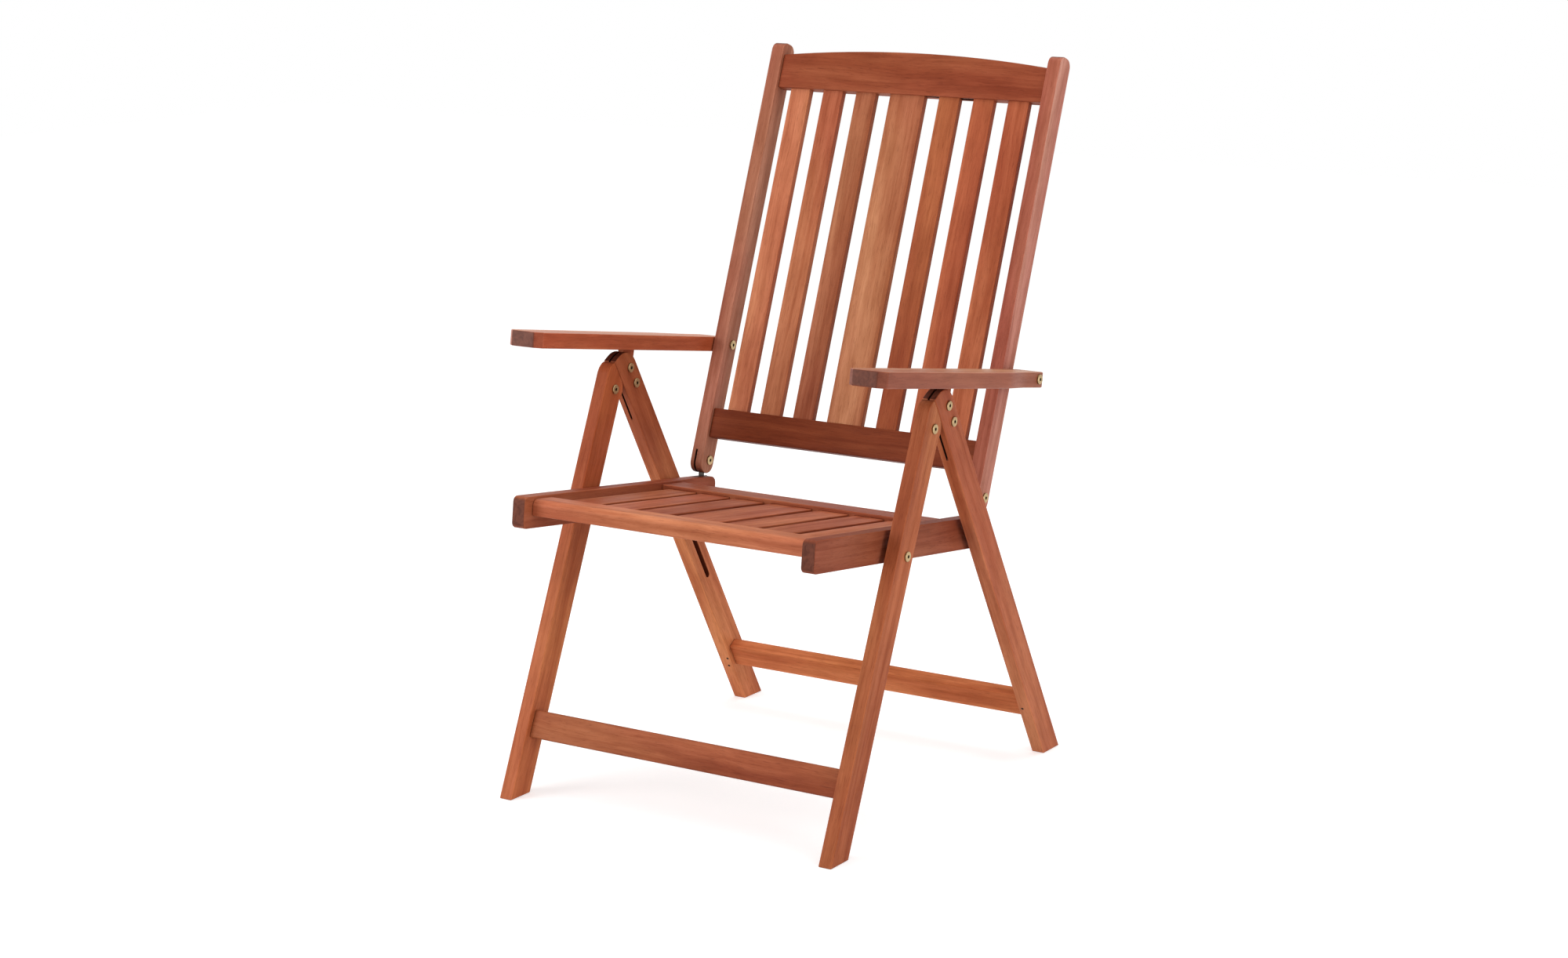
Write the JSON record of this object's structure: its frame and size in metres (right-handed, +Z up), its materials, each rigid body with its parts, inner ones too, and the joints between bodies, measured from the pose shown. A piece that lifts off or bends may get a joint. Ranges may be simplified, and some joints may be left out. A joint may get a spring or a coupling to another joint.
{
  "type": "folding garden armchair",
  "caption": "High-backed folding garden armchair in oiled hardwood, with slatted seat and back, armrests and crossing legs that fold flat.",
  "frame": {"origin": "on the ground, in the middle of the open chair's outline seen from above", "axes": "+Z up, -Y the way the sitter faces, +X to the sitter's left"},
  "size_m": [0.6444, 0.7355, 1.0779],
  "materials": {
    "hardwood": "oiled",
    "hardwood_light": "oiled",
    "brass": "satin",
    "plate_steel": "satin",
    "dark_steel": "dull"
  },
  "bodies": {
    "rear_legs": {"armrest_catch_left": "hardwood", "armrest_catch_right": "hardwood", "leg_hinge_plate_left": "plate_steel", "leg_hinge_plate_right": "plate_steel", "leg_plate_bolt_left_lower": "brass", "leg_plate_bolt_left_upper": "brass", "leg_plate_bolt_right_lower": "brass", "leg_plate_bolt_right_upper": "brass", "rear_leg_left": "hardwood", "rear_leg_right": "hardwood", "rear_stretcher": "hardwood"},
    "front_legs": {"front_leg_left": "hardwood", "front_leg_right": "hardwood", "front_stretcher": "hardwood", "leg_pivot_bolt_left": "brass", "leg_pivot_bolt_right": "brass", "seat_pivot_bolt_left": "brass", "seat_pivot_bolt_right": "brass", "seat_pivot_spacer_left": "brass", "seat_pivot_spacer_right": "brass"},
    "seat": {"back_hinge_plate_left": "dark_steel", "back_hinge_plate_right": "dark_steel", "back_plate_pin_left_front": "brass", "back_plate_pin_left_rear": "brass", "back_plate_pin_right_front": "brass", "back_plate_pin_right_rear": "brass", "seat_front_crosspiece": "hardwood", "seat_rail_left": "hardwood", "seat_rail_right": "hardwood", "seat_rear_crosspiece": "hardwood", "seat_slat_1": "hardwood", "seat_slat_2": "hardwood", "seat_slat_3": "hardwood", "seat_slat_4": "hardwood", "seat_slat_5": "hardwood", "seat_slat_6": "hardwood", "seat_slat_7": "hardwood", "slide_pin_left": "brass", "slide_pin_right": "brass"},
    "back": {"armrest_bolt_left": "brass", "armrest_bolt_right": "brass", "armrest_washer_left": "brass", "armrest_washer_right": "brass", "back_bottom_rail": "hardwood", "back_pivot_bolt_left": "brass", "back_pivot_bolt_right": "brass", "back_slat_1": "hardwood", "back_slat_2": "hardwood", "back_slat_3": "hardwood", "back_slat_4": "hardwood_light", "back_slat_5": "hardwood", "back_slat_6": "hardwood", "back_slat_7": "hardwood", "back_stile_left": "hardwood", "back_stile_right": "hardwood", "back_top_rail": "hardwood"},
    "armrest_left": {"armrest_left": "hardwood"},
    "armrest_right": {"armrest_right": "hardwood"}
  },
  "joints": [
    {"name": "leg_fold", "type": "hinge", "parent": "rear_legs", "child": "front_legs", "pos_m": [0, -0.0928, 0.58], "axis": [1, 0, 0], "range_deg": [0, 53.4]},
    {"name": "seat_fold", "type": "hinge", "parent": "front_legs", "child": "seat", "pos_m": [0, -0.16637, 0.40775], "axis": [1, 0, 0], "range_deg": [-98.3, 0]},
    {"name": "back_fold", "type": "hinge", "parent": "seat", "child": "back", "pos_m": [0, 0.11865, 0.4357], "axis": [1, 0, 0], "range_deg": [0, 95.8]},
    {"name": "armrest_left_fold", "type": "hinge", "parent": "back", "child": "armrest_left", "pos_m": [0, 0.1853, 0.61138], "axis": [1, 0, 0], "range_deg": [-108.7, 0]},
    {"name": "armrest_right_fold", "type": "hinge", "parent": "back", "child": "armrest_right", "pos_m": [0, 0.1853, 0.61138], "axis": [1, 0, 0], "range_deg": [-108.7, 0]}
  ],
  "couplings": [
    {"joint": "seat_fold", "follows": "leg_fold", "ratio": -1.8394},
    {"joint": "back_fold", "follows": "leg_fold", "ratio": 1.7927},
    {"joint": "armrest_left_fold", "follows": "leg_fold", "ratio": -2.0331},
    {"joint": "armrest_right_fold", "follows": "leg_fold", "ratio": -2.0331}
  ]
}
